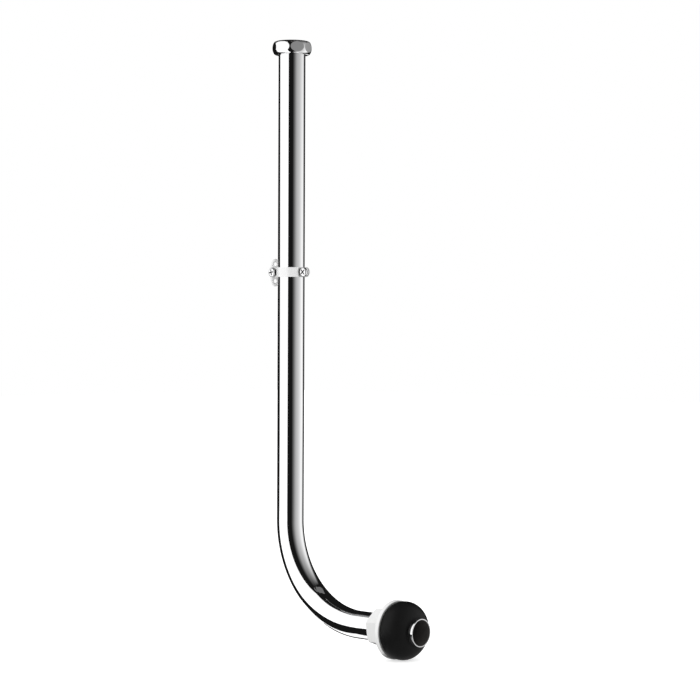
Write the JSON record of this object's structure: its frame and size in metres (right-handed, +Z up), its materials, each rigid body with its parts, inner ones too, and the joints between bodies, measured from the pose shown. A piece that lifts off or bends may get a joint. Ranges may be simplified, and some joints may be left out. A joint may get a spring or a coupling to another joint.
{
  "type": "flush pipe",
  "caption": "Chromed bent flush pipe with an octagonal union nut, a wall clamp of bent straps on an oval plate, and a flanged collar with a domed rubber seal for the pan inlet.",
  "frame": {"origin": "centre of the pipe's upper end face, on the riser's axis", "axes": "+Z up along the riser, -Y along the short leg towards the pan, +Y towards the wall"},
  "size_m": [0.059, 0.2059, 0.6276],
  "materials": {
    "chrome": "polished chrome plate on brass",
    "satin_steel": "plated steel, satin",
    "white_plastic": "moulded, satin gloss",
    "black_rubber": "matt moulded rubber",
    "fibre": "pressed fibre"
  },
  "bodies": {
    "pipe": {"flush_pipe": "chrome", "gasket": "fibre", "left_strap": "satin_steel", "right_strap": "satin_steel", "wall_plate": "satin_steel", "front_screw": "chrome", "rear_screw": "chrome", "flanged_collar": "white_plastic", "rubber_cone": "black_rubber"},
    "nut": {"union_nut": "chrome"}
  },
  "joints": [
    {"name": "nut_turn", "type": "hinge", "parent": "pipe", "child": "nut", "pos_m": [0, 0, 0], "axis": [0, 0, 1], "continuous": true}
  ]
}
